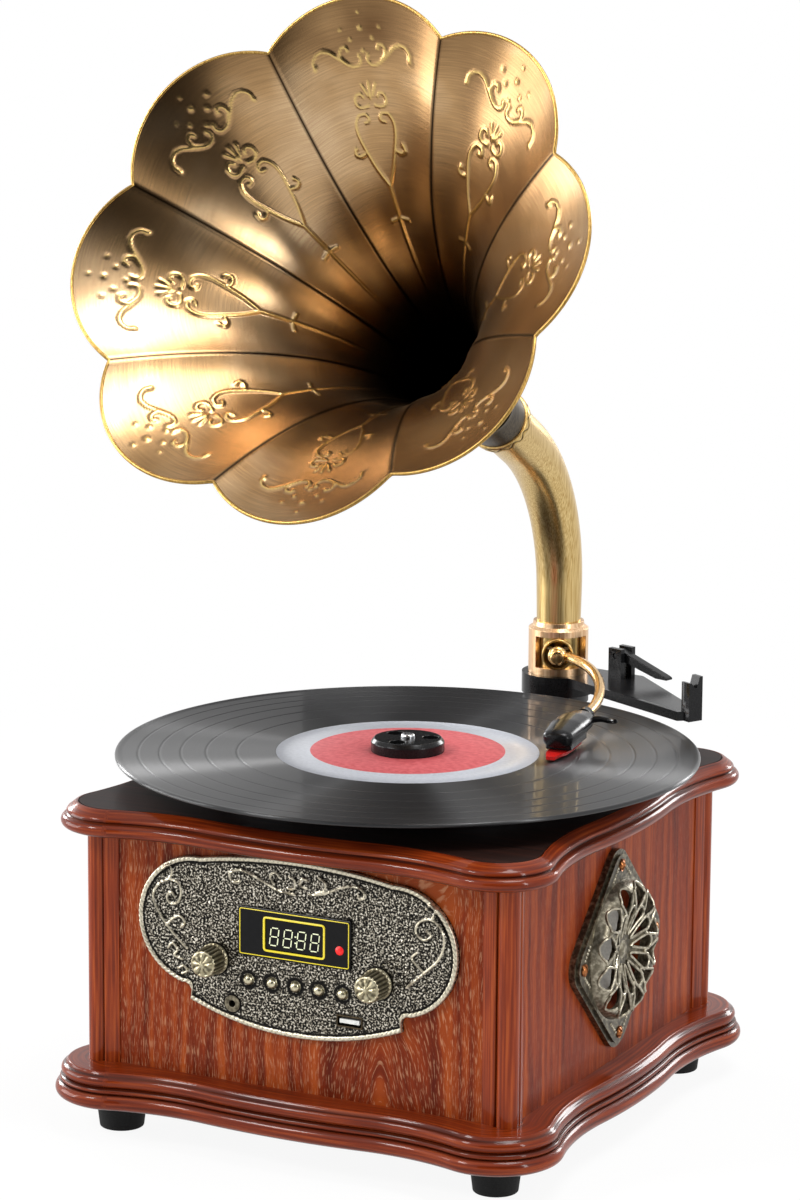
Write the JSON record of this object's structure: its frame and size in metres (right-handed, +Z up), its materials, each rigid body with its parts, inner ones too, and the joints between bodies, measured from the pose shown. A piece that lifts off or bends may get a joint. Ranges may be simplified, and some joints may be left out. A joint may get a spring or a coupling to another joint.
{
  "type": "record player",
  "caption": "Gramophone-style record player: serpentine wooden cabinet with a petalled brass horn, belt-driven platter, bent tonearm, bronze control plate and side speaker grilles.",
  "frame": {"origin": "on the table under the middle of the whole part", "axes": "+Z up, -Y out of the control front, +X to the right of someone facing the front"},
  "size_m": [0.302, 0.3632, 0.5733],
  "materials": {
    "walnut": "gloss lacquer",
    "deck_wood": "satin lacquer",
    "bronze": "antique hammered",
    "horn_brass": "brushed antique",
    "tube_brass": "polished",
    "copper": "satin",
    "patina": "dark patina",
    "black_plastic": "moulded",
    "vinyl": "grooved",
    "rubber": "matte",
    "steel": "satin",
    "felt": "felt",
    "board": "lacquered board",
    "display": "gloss",
    "lcd": "gloss",
    "red_plastic": "gloss",
    "silver_plastic": "champagne",
    "platter_metal": "satin",
    "painted_iron": "black enamel"
  },
  "bodies": {
    "cabinet": {"base_moulding": "walnut", "base_board": "walnut", "foot_front_left": "rubber", "foot_front_right": "rubber", "foot_rear_left": "rubber", "foot_rear_right": "rubber", "wood_screws": "patina", "post_front_left": "walnut", "post_front_right": "walnut", "post_rear_left": "walnut", "post_rear_right": "walnut", "front_panel": "walnut", "right_panel": "walnut", "left_panel": "walnut", "rear_panel": "walnut", "power_inlet": "black_plastic", "top_moulding": "walnut", "top_deck": "deck_wood", "control_plate": "bronze", "display_bezel": "display", "display_window": "lcd", "control_board": "board", "aux_jack": "steel", "usb_port": "steel", "right_grille": "patina", "left_grille": "patina", "right_speaker": "black_plastic", "left_speaker": "black_plastic", "bearing_housing": "steel", "motor": "steel", "drive_belt": "rubber", "collar": "copper", "arm_base": "black_plastic", "rear_bracket": "painted_iron"},
    "turntable": {"platter": "platter_metal", "spindle": "tube_brass", "slip_mat": "felt", "record": "vinyl", "adapter": "black_plastic"},
    "motor_shaft": {"motor_pulley": "tube_brass"},
    "horn": {"elbow": "tube_brass", "neck_ring": "tube_brass", "neck_ferrule": "patina", "horn_bell": "horn_brass"},
    "arm_pivot": {"pivot_sleeve": "tube_brass", "hinge_pin": "steel"},
    "tonearm": {"arm_tube": "tube_brass", "headshell": "black_plastic", "cartridge": "black_plastic", "stylus_holder": "red_plastic"},
    "cue_arm": {"cue_lever": "black_plastic"},
    "volume": {"volume_knob": "silver_plastic", "volume_shaft": "steel"},
    "tuning": {"tuning_knob": "silver_plastic", "tuning_shaft": "steel"},
    "key_1": {"button_1": "silver_plastic"},
    "key_2": {"button_2": "silver_plastic"},
    "key_3": {"button_3": "silver_plastic"},
    "key_4": {"button_4": "silver_plastic"},
    "key_5": {"button_5": "silver_plastic"}
  },
  "joints": [
    {"name": "platter_spin", "type": "hinge", "parent": "cabinet", "child": "turntable", "pos_m": [0, -0.02139, 0.178], "axis": [0, 0, -1], "continuous": true},
    {"name": "pulley_spin", "type": "hinge", "parent": "cabinet", "child": "motor_shaft", "pos_m": [-0.05869, 0.0373, 0.178], "axis": [0, 0, -1], "continuous": true},
    {"name": "horn_turn", "type": "hinge", "parent": "cabinet", "child": "horn", "pos_m": [0, 0.16161, 0.218], "axis": [0, 0, 1], "range_deg": [-45, 45]},
    {"name": "arm_swing", "type": "hinge", "parent": "cabinet", "child": "arm_pivot", "pos_m": [0, 0.16161, 0.2055], "axis": [0, 0, 1], "range_deg": [-6, 24.5]},
    {"name": "arm_lift", "type": "hinge", "parent": "arm_pivot", "child": "tonearm", "pos_m": [0, 0.16161, 0.2055], "axis": [-0.9143, -0.4051, 0], "range_deg": [0, 10]},
    {"name": "cue_lift", "type": "hinge", "parent": "cabinet", "child": "cue_arm", "pos_m": [0.038, 0.16261, 0.2058], "axis": [-0.2756, -0.9613, 0], "range_deg": [0, 50]},
    {"name": "volume_turn", "type": "hinge", "parent": "cabinet", "child": "volume", "pos_m": [-0.046, -0.14639, 0.0997], "axis": [0, -1, 0], "range_deg": [-150, 150]},
    {"name": "tuning_turn", "type": "hinge", "parent": "cabinet", "child": "tuning", "pos_m": [0.046, -0.14639, 0.0997], "axis": [0, -1, 0], "range_deg": [-150, 150]},
    {"name": "button_1_press", "type": "slide", "parent": "cabinet", "child": "key_1", "axis": [0, 1, 0], "range_m": [0, 0.0012], "stiffness_N_per_m": 300, "springref_m": -0.0005},
    {"name": "button_2_press", "type": "slide", "parent": "cabinet", "child": "key_2", "axis": [0, 1, 0], "range_m": [0, 0.0012], "stiffness_N_per_m": 300, "springref_m": -0.0005},
    {"name": "button_3_press", "type": "slide", "parent": "cabinet", "child": "key_3", "axis": [0, 1, 0], "range_m": [0, 0.0012], "stiffness_N_per_m": 300, "springref_m": -0.0005},
    {"name": "button_4_press", "type": "slide", "parent": "cabinet", "child": "key_4", "axis": [0, 1, 0], "range_m": [0, 0.0012], "stiffness_N_per_m": 300, "springref_m": -0.0005},
    {"name": "button_5_press", "type": "slide", "parent": "cabinet", "child": "key_5", "axis": [0, 1, 0], "range_m": [0, 0.0012], "stiffness_N_per_m": 300, "springref_m": -0.0005}
  ],
  "couplings": [
    {"joint": "pulley_spin", "follows": "platter_spin", "ratio": 16}
  ]
}
